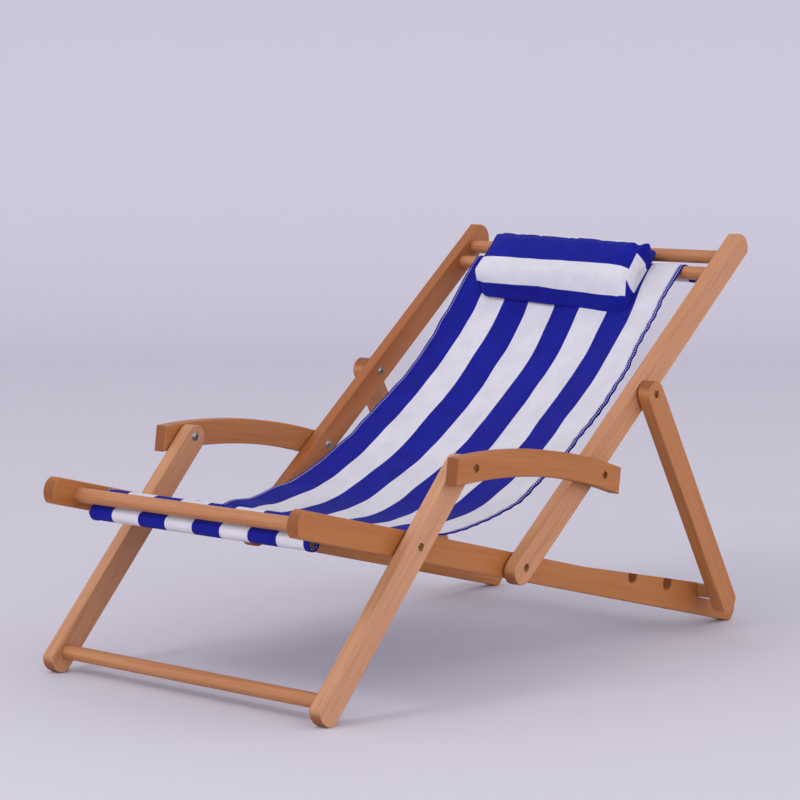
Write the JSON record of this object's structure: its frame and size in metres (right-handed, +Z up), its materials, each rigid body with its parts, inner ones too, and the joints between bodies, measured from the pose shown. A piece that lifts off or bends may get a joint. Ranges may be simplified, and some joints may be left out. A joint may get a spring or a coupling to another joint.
{
  "type": "folding deck chair",
  "caption": "Reclining folding deck chair: beech side frames on pivots, arched armrests, dowel cross bars, a slung striped canvas seat and a box-shaped head pillow.",
  "frame": {"origin": "on the floor, on the middle plane, midway between the front and rear feet", "axes": "+Z up; the sitter faces -Y, so +X is on the right of someone who stands in front of the chair's foot and looks along +Y"},
  "size_m": [0.612, 1.0702, 0.643],
  "materials": {
    "beech": "clear satin lacquer over fine straight-grained beech, eased edges",
    "beech_dowel": "clear satin lacquer over turned beech",
    "striped_canvas": "plain-weave cotton canvas in equal blue and white stripes, hemmed and stitched",
    "foam": "open-cell upholstery foam",
    "steel": "zinc-plated screw heads",
    "brass": "brass-plated sleeve nuts",
    "washer": "dark nylon spacer washers"
  },
  "bodies": {
    "base": {"base_rail_left": "beech", "base_rail_right": "beech", "front_dowel": "beech_dowel", "sling_dowel": "beech_dowel", "front_hem_rod": "beech_dowel", "sling_front_hem": "striped_canvas", "sling_seat": "striped_canvas", "back_pivot_screws": "steel", "back_pivot_sleeves": "brass", "back_pivot_washers": "washer", "leg_pivot_screws": "steel", "leg_pivot_sleeves": "brass", "leg_pivot_washers": "washer"},
    "front_legs": {"front_leg_left": "beech", "front_leg_right": "beech", "leg_dowel": "beech_dowel", "arm_front_screws": "steel", "arm_front_washers": "washer"},
    "back": {"back_rail_left": "beech", "back_rail_right": "beech", "top_dowel_lower": "beech_dowel", "top_dowel_upper": "beech_dowel", "top_hem_rod": "beech_dowel", "sling_top_hem": "striped_canvas", "sling_back": "striped_canvas", "headrest_cover": "striped_canvas", "headrest_foam": "foam", "arm_rear_pivot_screws": "steel", "arm_rear_pivot_sleeves": "brass", "arm_rear_pivot_washers": "washer", "support_pivot_screws": "steel", "support_pivot_sleeves": "brass", "support_pivot_washers": "washer"},
    "left_armrest": {"armrest_left": "beech", "arm_front_sleeve_left": "brass"},
    "right_armrest": {"armrest_right": "beech", "arm_front_sleeve_right": "brass"},
    "rear_support": {"support_leg_left": "beech", "support_leg_right": "beech", "support_bar": "beech_dowel"}
  },
  "joints": [
    {"name": "back_fold", "type": "hinge", "parent": "base", "child": "back", "pos_m": [0, -0.0643, 0.1656], "axis": [-1, 0, 0], "range_deg": [0, 51.93]},
    {"name": "leg_fold", "type": "hinge", "parent": "base", "child": "front_legs", "pos_m": [0, -0.30707, 0.22613], "axis": [-1, 0, 0], "range_deg": [0, 62.84]},
    {"name": "left_arm_fold", "type": "hinge", "parent": "back", "child": "left_armrest", "pos_m": [0, 0.09569, 0.29029], "axis": [-1, 0, 0], "range_deg": [-45.42, 0]},
    {"name": "right_arm_fold", "type": "hinge", "parent": "back", "child": "right_armrest", "pos_m": [0, 0.09569, 0.29029], "axis": [-1, 0, 0], "range_deg": [-45.42, 0]},
    {"name": "support_fold", "type": "hinge", "parent": "back", "child": "rear_support", "pos_m": [0, 0.22867, 0.40335], "axis": [-1, 0, 0], "range_deg": [-98.01, 0]}
  ],
  "couplings": [
    {"joint": "leg_fold", "follows": "back_fold", "ratio": 1.2097},
    {"joint": "left_arm_fold", "follows": "back_fold", "ratio": -0.87422},
    {"joint": "right_arm_fold", "follows": "back_fold", "ratio": -0.87422},
    {"joint": "support_fold", "follows": "back_fold", "ratio": -1.887}
  ]
}
